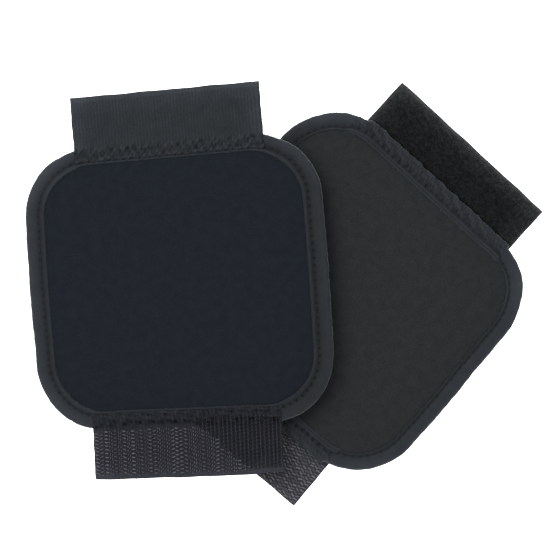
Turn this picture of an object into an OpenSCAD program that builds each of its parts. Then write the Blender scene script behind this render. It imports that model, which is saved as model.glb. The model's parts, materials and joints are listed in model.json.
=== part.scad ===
// Pair of soft knee pads with hook and loop fastening tabs.
// Each pad is a foam sheet between two jersey covers, bound with folded tape round its edge.
// A hook tape and a loop tape are sewn over the binding at two opposite edges, and each leaves
// a free flap beyond the edge.
// One pad lies on its navy face. The other leans on it with its navy face up.
// A pad's own frame: x along the tapes, y towards the loop tape, z = 0 at the back cover's plane
// and z rising to the navy face.

/* [Pad] */
// Width of a pad along its tape edges
pad_w = 160; // [140:1:200]
// Height of a pad between its two tape edges
pad_h = 154; // [135:1:190]
// Radius of the pad's corners
corner_r = 37; // [30:1:50]
// Thickness of the foam in the middle of the pad
foam_t = 5; // [4:0.1:8]
// Thickness of the foam squeezed under the binding
rim_foam_t = 2.2; // [1.6:0.1:3]
// Thickness of a jersey cover
cover_t = 0.5; // [0.4:0.05:0.8]
// Width over which the pad rises from the binding to its full thickness
shoulder_w = 9; // [6:0.5:12]

/* [Binding] */
// Width of the binding that shows on each face
binding_w = 10.6; // [8:0.1:12]
// Thickness of the binding tape
binding_t = 0.7; // [0.6:0.05:0.9]
// Distance from the pad's outer edge to the binding seam
seam_inset = 7.3; // [5:0.1:7.4]
// Thickness of the sewing thread
thread_d = 0.4; // [0.3:0.05:0.5]

/* [Tapes] */
// Length of both tapes
tape_l = 101; // [70:1:110]
// Length of a flap beyond the pad's edge
flap_l = 26; // [20:0.5:40]
// Width of tape sewn over the binding
sewn_w = 9.8; // [8:0.1:12]
// Thickness of the woven tape
tape_t = 0.7; // [0.5:0.05:1]
// Width of the bare selvedge along a tape's edges
selvedge_w = 3.2; // [2:0.1:5]
// Height of the hooks above the woven tape
hook_h = 1.1; // [0.8:0.05:1.6]
// Distance from one row of hooks to the next
hook_pitch = 2.1; // [1.6:0.1:3]
// Width of the foot of a hook row
hook_foot_w = 1.3; // [1:0.05:1.5]
// Width of the top of a hook row
hook_top_w = 0.8; // [0.5:0.05:1]
// Height of the loops above the woven tape
pile_h = 1.3; // [0.9:0.05:1.8]
// Height of loops or hooks pressed flat under the seam
pressed_h = 0.4; // [0.3:0.05:0.6]

/* [Zigzag seams] */
// Distance from one zigzag point to the next on the same side
zigzag_pitch = 4; // [3:0.1:6]
// Width of the zigzag across the tape
zigzag_w = 3.8; // [2:0.1:4.5]
// Distance from the pad's outer edge to the middle of the zigzag
zigzag_inset = 4.6; // [3.6:0.1:5]
// Least distance from the tape's cut end to the zigzag
zigzag_end = 1.5; // [1:0.1:5]

/* [Arrangement] */
// Turn of the upper pad seen from above
upper_turn = 4.2; // [0:0.1:10]
// Turn of the lower pad seen from above
lower_turn = -40.8; // [-55:0.1:-30]
// Upper pad's centre from the lower pad's centre, to the right
pair_dx = -88; // [-100:1:-80]
// Upper pad's centre from the lower pad's centre, upwards in plan
pair_dy = 5; // [-5:0.5:15]

/* [Clearances] */
// Gap along a bonded or sewn joint of two layers
layer_gap = 0.05; // [0.02:0.01:0.1]
// Gap at a fold, between the sewn margin and the flap
fold_gap = 0.4; // [0.3:0.05:0.6]
// Gap between the lower pad and the pad that leans on it
rest_gap = 0.35; // [0.3:0.05:0.6]

/* [Hidden] */
$fn = 64;
// layer levels in a pad's own frame
pad_t = foam_t + 2 * cover_t;
mid_z = pad_t / 2;
rim_foam = rim_foam_t / 2;
rim_cover = rim_foam + cover_t;
rim_bind = rim_cover + binding_t;
bind_top = mid_z + rim_bind;
bind_low = mid_z - rim_bind;
hook_base = bind_top;
hook_tip = hook_base + tape_t + hook_h;
loop_base = bind_top + pressed_h;
loop_tip = loop_base - pile_h;
loop_back = loop_base + tape_t;
crown_in = binding_w + shoulder_w;
// points along a curved shoulder, and how far a rim section runs on into the flat middle
shoulder_n = 6;
lap = 1;
// width of the groove that the binding seam lies in
groove_w = thread_d + 6 * layer_gap;
edge_y = pad_h / 2;
flap_y = edge_y + fold_gap;
flap_end = edge_y + flap_l;
// number of the last hook row that fits between the fold and the selvedge
hook_row_n = floor((flap_end - flap_y - selvedge_w - hook_foot_w) / hook_pitch + 0.01);

// fold axes in a pad's own frame, on the inside of each fold
hook_fold = [0, -flap_y, hook_tip + fold_gap / 2];
loop_fold_up = [0, flap_y, loop_back + thread_d + fold_gap / 2];
loop_fold_back = [0, flap_y, loop_tip - fold_gap / 2];

// half extent of a pad's outline along a direction at angle a to its own x axis
function reach(a) = abs(cos(a)) * (pad_w / 2 - corner_r)
    + abs(sin(a)) * (pad_h / 2 - corner_r) + corner_r;

// the lower pad's back cover is its highest plane, and its hook tips touch the floor
lower_top = hook_tip;
// distance along the upper pad from its outer edge to the lower pad's nearest edge
run_edge = pad_w / 2 - (pair_dx * cos(upper_turn) + pair_dy * sin(upper_turn))
    - reach(upper_turn - lower_turn);
// the back cover's plane clears the top of the lower pad's binding, and its full height further in
lean = max(atan((lower_top + rest_gap) / run_edge),
    atan((lower_top + rest_gap + bind_low) / (run_edge + crown_in - rim_bind)));
// puts the rounded edge of the leaning pad on the floor
upper_lift = rim_bind - rim_bind * sin(lean) - mid_z * cos(lean);

// plan extents about the lower pad's centre, which put the origin under the middle of the pair
low_corner = [tape_l / 2, flap_end];
x_max = low_corner.x * cos(lower_turn) - low_corner.y * sin(lower_turn);
y_min = low_corner.x * sin(lower_turn) - low_corner.y * cos(lower_turn);
x_min = pair_dx - reach(upper_turn);
y_max = pair_dy + flap_end * cos(upper_turn)
    + ((tape_l / 2 + pad_w / 2) * cos(lean) - pad_w / 2) * sin(upper_turn);
lower_at = [-(x_max + x_min) / 2, -(y_max + y_min) / 2, lower_top];
upper_at = [lower_at.x + pair_dx, lower_at.y + pair_dy, upper_lift];

// a point of a pad's own frame in the pair's frame
function in_plan(p, a) = [p.x * cos(a) - p.y * sin(a), p.x * sin(a) + p.y * cos(a), p.z];
function leaning(p) = [(p.x + pad_w / 2) * cos(lean) - p.z * sin(lean) - pad_w / 2, p.y,
    (p.x + pad_w / 2) * sin(lean) + p.z * cos(lean)];
function on_upper(p) = upper_at + in_plan(leaning(p), upper_turn);
function on_lower(p) = lower_at + in_plan([-p.x, p.y, -p.z], lower_turn);
// a fold line: a point on it, and the direction about which the flap turns away from rest
echo(upper_hook_fold = on_upper(hook_fold), turn = on_upper([-1, 0, 0]) - on_upper([0, 0, 0]));
echo(upper_loop_fold = on_upper(loop_fold_up), turn = on_upper([1, 0, 0]) - on_upper([0, 0, 0]));
echo(lower_hook_fold = on_lower(hook_fold), turn = on_lower([-1, 0, 0]) - on_lower([0, 0, 0]));
echo(lower_loop_fold = on_lower(loop_fold_back), turn = on_lower([-1, 0, 0]) - on_lower([0, 0, 0]));
// the middle of each fastening face: a hook row's top, and the pile
hook_face = [0, -flap_y - hook_foot_w / 2 - floor(hook_row_n / 2) * hook_pitch, hook_tip];
loop_face = [0, (flap_y + flap_end - selvedge_w) / 2, loop_tip];
echo(upper_hook_face = on_upper(hook_face), upper_loop_face = on_upper(loop_face),
    lower_hook_face = on_lower(hook_face), lower_loop_face = on_lower(loop_face), lean = lean);

navy = [0.13, 0.15, 0.18];
charcoal = [0.18, 0.185, 0.195];
edge_grey = [0.22, 0.23, 0.25];
tape_grey = [0.2, 0.21, 0.225];
thread_grey = [0.15, 0.16, 0.18];
foam_black = [0.07, 0.07, 0.075];

// places a pad's own frame for the upper pad: turned in plan and raised about its floor edge
module place_upper() {
  translate(upper_at) rotate(upper_turn) translate([-pad_w / 2, 0, 0]) rotate([0, -lean, 0])
    translate([pad_w / 2, 0, 0]) children();
}

// places a pad's own frame for the lower pad: turned over and turned in plan
module place_lower() {
  translate(lower_at) rotate(lower_turn) rotate([0, 180, 0]) children();
}

// carries a section round the pad's outline; the section's x runs inwards from the outer edge
module round_edge() {
  long_x = pad_w - 2 * corner_r;
  long_y = pad_h - 2 * corner_r;
  for (i = [0:3]) {
    a = 90 * i;
    out = i % 2 == 0 ? pad_w / 2 : pad_h / 2;
    run = i % 2 == 0 ? long_y : long_x;
    rotate(a) translate([out, run / 2, 0]) rotate([90, 0, 0]) linear_extrude(run)
      mirror([1, 0]) children();
    rotate(a) translate([out - corner_r, run / 2, 0]) rotate_extrude(angle = 90)
      translate([corner_r, 0]) mirror([1, 0]) children();
  }
}

// flat sheet with the pad's outline, drawn in by an inset, from z0 to z1
module sheet(inset, z0, z1) {
  r = corner_r - inset;
  for (s = [0, 1])
    translate([-(pad_w / 2 - inset - s * r), -(pad_h / 2 - inset - (1 - s) * r), z0])
      cube([pad_w - 2 * inset - 2 * s * r, pad_h - 2 * inset - 2 * (1 - s) * r, z1 - z0]);
  for (x = [-1, 1], y = [-1, 1])
    translate([x * (pad_w / 2 - corner_r), y * (pad_h / 2 - corner_r), z0]) cylinder(r = r, h = z1 - z0);
}

// height above the middle plane along the shoulder: from the rim level to the full level
function shoulder(rim, full) = [for (i = [0:shoulder_n])
    let (t = i / shoulder_n) [binding_w + t * shoulder_w, rim + (full - rim) * (1 - cos(180 * t)) / 2]];

// section of the foam's rim, from its cut edge to the start of the flat middle
module foam_section() {
  rim = rim_foam - layer_gap;
  full = foam_t / 2 - layer_gap;
  rise = shoulder(rim, full);
  back = [for (i = [shoulder_n:-1:0]) [rise[i].x, -rise[i].y]];
  translate([0, mid_z]) {
    translate([rim_bind, 0]) circle(rim);
    polygon(concat([[rim_bind, -rim], [rim_bind, rim]], rise,
        [[crown_in + lap, full], [crown_in + lap, -full]], back));
  }
}

// section of a cover's rim: a strip of cover thickness that follows the foam
module cover_section() {
  outer = shoulder(rim_cover - layer_gap, pad_t / 2);
  inner = shoulder(rim_foam, foam_t / 2);
  back = [for (i = [shoulder_n:-1:0]) inner[i]];
  translate([0, mid_z]) polygon(concat([[rim_bind, rim_foam], [rim_bind, rim_cover - layer_gap]], outer,
      [[crown_in + lap, pad_t / 2], [crown_in + lap, foam_t / 2]], back));
}

// section of the binding: folded round the rim, with a groove on each face for the seam
module binding_section() {
  translate([0, mid_z]) difference() {
    union() {
      translate([rim_bind, 0]) circle(rim_bind);
      translate([rim_bind, -rim_bind]) square([binding_w - rim_bind, 2 * rim_bind]);
    }
    translate([rim_bind, 0]) circle(rim_cover);
    translate([rim_bind, -rim_cover]) square([binding_w, 2 * rim_cover]);
    for (z = [-rim_bind, rim_bind])
      translate([seam_inset, z]) square([groove_w, 2 * thread_d], center = true);
  }
}

// section of the seam threads that lie in the two grooves
module thread_section() {
  level = rim_bind - thread_d / 2;
  for (z = [-level, level])
    translate([seam_inset, mid_z + z]) square([thread_d, thread_d - 2 * layer_gap], center = true);
}

module foam_core() {
  color(foam_black) {
    sheet(crown_in, cover_t + layer_gap, pad_t - cover_t - layer_gap);
    round_edge() foam_section();
  }
}

module face_cover() {
  color(navy) {
    sheet(crown_in, pad_t - cover_t, pad_t);
    round_edge() cover_section();
  }
}

module back_cover() {
  color(charcoal) translate([0, 0, pad_t]) mirror([0, 0, 1]) {
    sheet(crown_in, pad_t - cover_t, pad_t);
    round_edge() cover_section();
  }
}

module edge_binding() {
  color(edge_grey) round_edge() binding_section();
}

module binding_stitch() {
  color(thread_grey) round_edge() thread_section();
}

// strip along a tape, from y0 to y1 outwards, between two levels
module strip(y0, y1, z0, z1) {
  translate([-tape_l / 2, y0, z0]) cube([tape_l, y1 - y0, z1 - z0]);
}

// zigzag thread along a tape, its middle at y, lying from z upwards
module zigzag(y, z) {
  n = 2 * floor((tape_l - 2 * zigzag_end) / zigzag_pitch);
  half = n * zigzag_pitch / 4;
  line = [for (i = [0:n]) [i * zigzag_pitch / 2 - half, (i % 2 == 0 ? -1 : 1) * (zigzag_w - 2 * thread_d) / 2]];
  side = thread_d * sqrt(1 + pow(2 * zigzag_w / zigzag_pitch, 2)) / 2;
  upper = [for (p = line) [p.x, p.y + side]];
  lower = [for (i = [n:-1:0]) [line[i].x, line[i].y - side]];
  translate([0, y, z]) linear_extrude(thread_d) polygon(concat(upper, lower));
}

// hook tape: sewn margin with its hooks pressed flat under the zigzag
module hook_tape_margin() {
  color(tape_grey) {
    strip(-edge_y, -edge_y + sewn_w, hook_base, hook_base + tape_t);
    strip(-edge_y, -edge_y + sewn_w - selvedge_w, hook_base + tape_t, hook_base + tape_t + pressed_h);
  }
}

module hook_tape_flap() {
  color(tape_grey) strip(-flap_end, -flap_y, hook_base, hook_base + tape_t);
}

// rows of hooks along the flap, each row a ridge that narrows upwards
module hook_rows() {
  color(tape_grey)
    for (i = [0:hook_row_n])
      translate([-tape_l / 2, -flap_y - hook_foot_w / 2 - i * hook_pitch, hook_base + tape_t])
        rotate([90, 0, 90]) linear_extrude(tape_l)
          polygon([[-hook_foot_w / 2, 0], [hook_foot_w / 2, 0], [hook_top_w / 2, hook_h],
              [-hook_top_w / 2, hook_h]]);
}

module hook_tape_seam() {
  color(thread_grey) {
    zigzag(-edge_y + zigzag_inset, hook_base + tape_t + pressed_h);
    zigzag(-edge_y + zigzag_inset, bind_low - thread_d);
  }
}

// loop tape: sewn margin with its loops pressed flat against the binding
module loop_tape_margin() {
  color(tape_grey) {
    strip(edge_y - sewn_w, edge_y, loop_base, loop_back);
    strip(edge_y - sewn_w + selvedge_w, edge_y, bind_top, loop_base);
  }
}

module loop_tape_flap() {
  color(tape_grey) strip(flap_y, flap_end, loop_base, loop_back);
}

module loop_pile() {
  color(thread_grey) strip(flap_y + fold_gap, flap_end - selvedge_w, loop_tip, loop_base);
}

module loop_tape_seam() {
  color(thread_grey) {
    zigzag(edge_y - zigzag_inset, loop_back);
    zigzag(edge_y - zigzag_inset, bind_low - thread_d);
  }
}

module upper_foam_core() { place_upper() foam_core(); }
module upper_face_cover() { place_upper() face_cover(); }
module upper_back_cover() { place_upper() back_cover(); }
module upper_edge_binding() { place_upper() edge_binding(); }
module upper_binding_stitch() { place_upper() binding_stitch(); }
module upper_hook_tape_margin() { place_upper() hook_tape_margin(); }
module upper_hook_tape_flap() { place_upper() hook_tape_flap(); }
module upper_hook_rows() { place_upper() hook_rows(); }
module upper_hook_tape_seam() { place_upper() hook_tape_seam(); }
module upper_loop_tape_margin() { place_upper() loop_tape_margin(); }
module upper_loop_tape_flap() { place_upper() loop_tape_flap(); }
module upper_loop_pile() { place_upper() loop_pile(); }
module upper_loop_tape_seam() { place_upper() loop_tape_seam(); }

module lower_foam_core() { place_lower() foam_core(); }
module lower_face_cover() { place_lower() face_cover(); }
module lower_back_cover() { place_lower() back_cover(); }
module lower_edge_binding() { place_lower() edge_binding(); }
module lower_binding_stitch() { place_lower() binding_stitch(); }
module lower_hook_tape_margin() { place_lower() hook_tape_margin(); }
module lower_hook_tape_flap() { place_lower() hook_tape_flap(); }
module lower_hook_rows() { place_lower() hook_rows(); }
module lower_hook_tape_seam() { place_lower() hook_tape_seam(); }
module lower_loop_tape_margin() { place_lower() loop_tape_margin(); }
module lower_loop_tape_flap() { place_lower() loop_tape_flap(); }
module lower_loop_pile() { place_lower() loop_pile(); }
module lower_loop_tape_seam() { place_lower() loop_tape_seam(); }

upper_foam_core();
upper_face_cover();
upper_back_cover();
upper_edge_binding();
upper_binding_stitch();
upper_hook_tape_margin();
upper_hook_tape_flap();
upper_hook_rows();
upper_hook_tape_seam();
upper_loop_tape_margin();
upper_loop_tape_flap();
upper_loop_pile();
upper_loop_tape_seam();
lower_foam_core();
lower_face_cover();
lower_back_cover();
lower_edge_binding();
lower_binding_stitch();
lower_hook_tape_margin();
lower_hook_tape_flap();
lower_hook_rows();
lower_hook_tape_seam();
lower_loop_tape_margin();
lower_loop_tape_flap();
lower_loop_pile();
lower_loop_tape_seam();
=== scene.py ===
"""Dresses a pair of soft knee pads: jersey over foam, a bound edge, and hook and loop tape tabs."""
import json
import math

import bpy
import numpy as np
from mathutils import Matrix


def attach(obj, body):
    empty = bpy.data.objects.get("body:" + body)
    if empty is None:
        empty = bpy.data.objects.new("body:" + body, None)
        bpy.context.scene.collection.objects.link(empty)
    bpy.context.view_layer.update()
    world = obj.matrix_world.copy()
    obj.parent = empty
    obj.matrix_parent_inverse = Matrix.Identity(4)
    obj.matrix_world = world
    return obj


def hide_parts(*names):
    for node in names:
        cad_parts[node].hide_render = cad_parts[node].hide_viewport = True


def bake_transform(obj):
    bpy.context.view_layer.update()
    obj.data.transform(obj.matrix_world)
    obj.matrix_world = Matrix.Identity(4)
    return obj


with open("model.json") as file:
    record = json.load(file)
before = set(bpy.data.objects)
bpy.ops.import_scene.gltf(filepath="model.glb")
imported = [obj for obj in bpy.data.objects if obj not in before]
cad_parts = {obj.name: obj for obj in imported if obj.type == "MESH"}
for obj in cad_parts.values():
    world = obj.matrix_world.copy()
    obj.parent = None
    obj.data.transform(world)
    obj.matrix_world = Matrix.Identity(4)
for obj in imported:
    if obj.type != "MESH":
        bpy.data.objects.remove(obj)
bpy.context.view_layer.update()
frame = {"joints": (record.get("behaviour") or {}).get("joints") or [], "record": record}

TAU = 2 * math.pi
MM = 0.001

# Sizes of one pad in its own frame, in mm: x runs along the tapes, y towards the loop tape,
# and z up from the back cover's plane to the navy face.
PAD_W, PAD_H, CORNER_R = 160.0, 154.0, 37.0
PAD_T, COVER_T, LAYER_GAP = 6.0, 0.5, 0.05
MID_Z = PAD_T / 2
RIM_COVER, RIM_BIND = 1.6, 2.3
BINDING_W, SEAM_INSET, SHOULDER_W = 10.6, 7.3, 9.0
EDGE_X, EDGE_Y = PAD_W / 2, PAD_H / 2
FOLD_GAP, FLAP_L, FOLD_REACH = 0.4, 26.0, 1.5
FLAP_Y, FLAP_END = EDGE_Y + FOLD_GAP, EDGE_Y + FLAP_L
TAPE_L, SEWN_W, TAPE_T, SELVEDGE_W = 101.0, 9.8, 0.7, 3.2
TAPE_IN, TAPE_END = EDGE_Y - SEWN_W, TAPE_L / 2
HOOK_BASE, LOOP_BASE, LOOP_TIP = 5.3, 5.7, 4.4
HOOK_H, HOOK_FOLD_Z = 1.1, 7.3
BIND_TOP = MID_Z + RIM_BIND
STITCH_PITCH, THREAD_W, THREAD_R = 3.9, 0.26, 0.2
ZIGZAG_PITCH, ZIGZAG_W, ZIGZAG_INSET = 4.0, 3.8, 4.6

# The side of the pad that each tape is on, along y, and the height of the tape's under side
TAPES = {"loop": 1, "hook": -1}
TAPE_BASE = {"loop": LOOP_BASE, "hook": HOOK_BASE}

# How each soft pad differs from the plain outline, in mm and degrees. The edges along its tapes are turned a
# little (loop_taper, hook_taper) and drawn in between the corners (draw_in), the pad lies a little aside
# (drift), and the binding rolls out under the zigzags (roll_out). Its binding is painted lighter at the
# corners, a painted highlight where light falls on the roll: by a share all round, one that grows along x
# and one that grows along y (corner_highlight). Each tape is sewn on a little along the edge (shift), and
# is a little long outwards (reach) and at its two cut ends (ends). A push moves the cloth near a point:
# where, how far, and over what radius.
LAY = {
    "upper": {
        "loop_taper": 0.6, "hook_taper": 1.9, "drift": 0.0, "draw_in": 1.1, "roll_out": 0.9,
        "corner_highlight": (0.39, -0.4, 0.28),
        "shift": {"loop": 0.25, "hook": -0.15},
        "reach": {"loop": 0.3, "hook": 0.9},
        "ends": {"loop": (0.6, 0.85), "hook": (0.7, -0.2)},
        "pushes": [((80, 5), (0.6, 0), 40), ((-80, 5), (-0.8, 0), 40), ((-60, -74), (-0.4, -1.2), 16),
                   ((60, 76), (-0.2, -1.0), 12), ((-60, 74), (0.2, -0.5), 12), ((50, -103), (0, 1.2), 18)],
    },
    "lower": {
        "loop_taper": 1.9, "hook_taper": 0.7, "drift": -0.8, "draw_in": 0.0, "roll_out": 1.35,
        "corner_highlight": (0.8, 0.14, 0.19),
        "shift": {"loop": -0.1, "hook": -2.5},
        "reach": {"loop": 1.3, "hook": 2.6},
        "ends": {"loop": (0.6, 1.4), "hook": (0.6, 0.35)},
        "pushes": [((-80, -20), (-0.8, 0), 24), ((-64, 69), (-0.5, 1.1), 16), ((-78, 50), (0.3, 0), 16),
                   ((-66, -72), (0, -0.5), 20), ((80, 40), (0.7, 0), 10)],
    },
}

# The stretch of a tape's edge that draw_in moves: its half length, how far it reaches into the pad, where on
# the flap it starts to fade, and how far from the flap's end it is gone
DRAWN_HALF, DRAWN_IN, DRAWN_OUT, DRAWN_TO = 62, 12, 7, 3

# Random draws start from each pad's own number, moved on by another number for each use
SEED = {"upper": 11, "lower": 23}


# Shapes on grids of points

def grid_faces(rows, cols, wrap_rows=False, wrap_cols=False):
    """Quads between neighbouring points of a grid, joined back to its first row or column if wrapped."""
    i = np.arange(rows if wrap_rows else rows - 1)[:, None]
    j = np.arange(cols if wrap_cols else cols - 1)[None, :]
    i2, j2 = (i + 1) % rows, (j + 1) % cols
    return np.stack([i * cols + j, i2 * cols + j, i2 * cols + j2, i * cols + j2], -1).reshape(-1, 4)


def slab(top, low):
    """Closed sheet between two grids of points: both grids, and a strip round the rim that joins them."""
    n, m, _ = top.shape
    upper = grid_faces(n, m)
    ring = np.concatenate([np.arange(m), np.arange(1, n) * m + m - 1,
                           (n - 1) * m + np.arange(m - 2, -1, -1), np.arange(n - 2, 0, -1) * m])
    after = np.roll(ring, -1)
    rim = np.stack([ring, after, after + n * m, ring + n * m], 1)
    return np.concatenate([top.reshape(-1, 3), low.reshape(-1, 3)]), [upper, upper[:, ::-1] + n * m, rim]


def twice(u, v):
    """Cloth lengths for a closed sheet: those of its top grid, and the same again for its low one."""
    return np.tile(np.stack([u, v], -1).reshape(-1, 2), (2, 1))


# Length by which each thread's pattern is moved on from the one before, in mm
YARN_APART = 7.3


def tubes(lines, wide, high, sides=6, across=None):
    """Tubes along many lines at once: about each point of a line an oval ring of the given half width
    and half height, square to the line, and a flat cap on both ends. Without a direction across, the
    ring's height is as near to upright as the line lets it be."""
    count, rings, _ = lines.shape
    along = np.gradient(lines, axis=1)
    along /= np.linalg.norm(along, axis=2, keepdims=True)
    if across is None:
        across = np.cross([0.0, 0.0, 1.0], along)
    across = np.broadcast_to(across, along.shape)
    across = across / np.linalg.norm(across, axis=2, keepdims=True)
    upward = np.cross(along, across)
    turn = np.arange(sides) / sides * TAU
    wide = np.broadcast_to(wide, (count, rings))[:, :, None, None]
    high = np.broadcast_to(high, (count, rings))[:, :, None, None]
    ring = (np.cos(turn)[:, None] * across[:, :, None] * wide
            + np.sin(turn)[:, None] * upward[:, :, None] * high)
    points = lines[:, :, None] + ring
    first = (np.arange(count) * rings * sides)[:, None, None]
    quads = grid_faces(rings, sides, wrap_cols=True)[None] + first
    one = np.arange(sides)
    caps = np.stack([one, (rings - 1) * sides + one[::-1]])[None] + first
    step = np.linalg.norm(np.diff(lines, axis=1), axis=2)
    run = np.concatenate([np.zeros((count, 1)), np.cumsum(step, 1)], 1)
    run = run + YARN_APART * np.arange(count)[:, None]
    uv = np.stack(np.broadcast_arrays(run[:, :, None], turn[None, None]), -1)
    return points.reshape(-1, 3), [quads.reshape(-1, 4), caps.reshape(-1, sides)], uv.reshape(-1, 2)


def wander(seed, waves, *where):
    """Slow unevenness from -1 to 1: the mean of sine waves in random directions, each a given length."""
    rng = np.random.default_rng(seed)
    total = 0.0
    for length in waves:
        heading = rng.normal(size=len(where))
        heading /= np.linalg.norm(heading)
        along = sum(h * w for h, w in zip(heading, where))
        total = total + np.sin(TAU / length * along + rng.uniform(0, TAU))
    return total / len(waves)


def ease(v, low, high):
    """0 below low, 1 above high, and a smooth S between them."""
    u = np.clip((v - low) / (high - low), 0, 1)
    return u * u * (3 - 2 * u)


def bump(v, centre, width):
    """A bell curve of height 1."""
    return np.exp(-((v - centre) / width) ** 2)


# The pad's outline: its core rectangle's edge, and the direction square to the outline, at knots of
# arc length from the middle of the right side
CORE_X, CORE_Y = EDGE_X - CORNER_R, EDGE_Y - CORNER_R
ARC = CORNER_R * math.pi / 2
KNOT_TURN = np.array([0, 0, 1, 1, 2, 2, 3, 3, 4, 4]) * math.pi / 2
KNOT_X = np.array([1, 1, 1, -1, -1, -1, -1, 1, 1, 1]) * CORE_X
KNOT_Y = np.array([0, 1, 1, 1, 1, -1, -1, -1, -1, 0]) * CORE_Y


def knot_lengths(arc):
    """Length round the pad to each knot, where every corner's arc has the given length."""
    return np.cumsum([0, CORE_Y, arc, 2 * CORE_X, arc, 2 * CORE_Y, arc, 2 * CORE_X, arc, CORE_Y])


KNOT_T, SEAM_T = knot_lengths(ARC), knot_lengths((CORNER_R - SEAM_INSET) * math.pi / 2)
OUTLINE_L = KNOT_T[-1]
STITCH_N = round(SEAM_T[-1] / STITCH_PITCH)
STITCH = SEAM_T[-1] / STITCH_N


def outline(t, inset):
    """Point at arc length t round the pad, drawn in by inset: the core rectangle's edge plus a radius."""
    turn = np.interp(t, KNOT_T, KNOT_TURN)
    r = CORNER_R - inset
    return np.interp(t, KNOT_T, KNOT_X) + r * np.cos(turn), np.interp(t, KNOT_T, KNOT_Y) + r * np.sin(turn)


def inset_of(x, y):
    """Distance of a point of the pad from its outer edge, measured inwards."""
    qx, qy = np.abs(x) - CORE_X, np.abs(y) - CORE_Y
    outside = np.hypot(np.maximum(qx, 0), np.maximum(qy, 0))
    return CORNER_R - outside - np.minimum(np.maximum(qx, qy), 0)


def shoulder(s, rim, full):
    """Height above the pad's middle plane: the rim level under the binding, the full level in the middle,
    and half a cosine wave between."""
    return rim + (full - rim) * (1 - np.cos(math.pi * np.clip((s - BINDING_W) / SHOULDER_W, 0, 1))) / 2


def pad_grid(cells, inset):
    """Plan of a pad as a square grid: each square ring of the grid is the drawn-in outline, shrunk."""
    a = np.linspace(-1, 1, cells + 1)
    u, v = np.meshgrid(a, a, indexing="ij")
    m = np.maximum(np.abs(u), np.abs(v))
    safe = np.where(m > 0, m, 1)
    right, top, left = u >= np.abs(v), v > np.abs(u), -u >= np.abs(v)
    share = np.where(right, v, np.where(top, -u, np.where(left, -v, u))) / safe
    side = np.where(right, 0, np.where(top, 1, np.where(left, 2, 3)))
    mid_t = np.array([0, KNOT_T[2] + CORE_X, OUTLINE_L / 2, KNOT_T[6] + CORE_X])[side]
    half = np.where(side % 2 == 0, CORE_Y + ARC / 2, CORE_X + ARC / 2)
    x, y = outline((mid_t + share * half) % OUTLINE_L, inset)
    return x * m, y * m


def finer(values, times):
    """A grid of values with each cell cut into times by times cells, by straight lines between points."""
    n = values.shape[0]
    old, new = np.arange(n), np.linspace(0, n - 1, (n - 1) * times + 1)
    rows = np.stack([np.interp(new, old, values[:, j]) for j in range(n)], 1)
    return np.stack([np.interp(new, old, rows[i]) for i in range(len(new))], 0)


# Where a pad lies in the pair

JOINTS = {j["name"]: j for j in frame["joints"]}
MOUNTS = {m["name"]: m for m in frame["record"]["mounts"]}


def cloth_mesh(name, points, faces, uv, uv_faces):
    """Smooth mesh of points and groups of faces, with the cloth's own lengths as its UV map."""
    mesh = bpy.data.meshes.new(name)
    mesh.vertices.add(len(points))
    mesh.vertices.foreach_set("co", points.astype(np.float32).ravel())
    corners = np.concatenate([f.ravel() for f in faces]).astype(np.int32)
    totals = np.concatenate([np.full(len(f), f.shape[1]) for f in faces]).astype(np.int32)
    starts = np.concatenate([[0], np.cumsum(totals)[:-1]]).astype(np.int32)
    mesh.loops.add(len(corners))
    mesh.loops.foreach_set("vertex_index", corners)
    mesh.polygons.add(len(totals))
    mesh.polygons.foreach_set("loop_start", starts)
    mesh.polygons.foreach_set("loop_total", totals)
    mesh.polygons.foreach_set("use_smooth", np.ones(len(totals), bool))
    mesh.update(calc_edges=True)
    cloth = mesh.uv_layers.new(name="cloth")
    picked = uv[np.concatenate([f.ravel() for f in uv_faces])]
    cloth.data.foreach_set("uv", picked.astype(np.float32).ravel())
    return mesh


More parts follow.
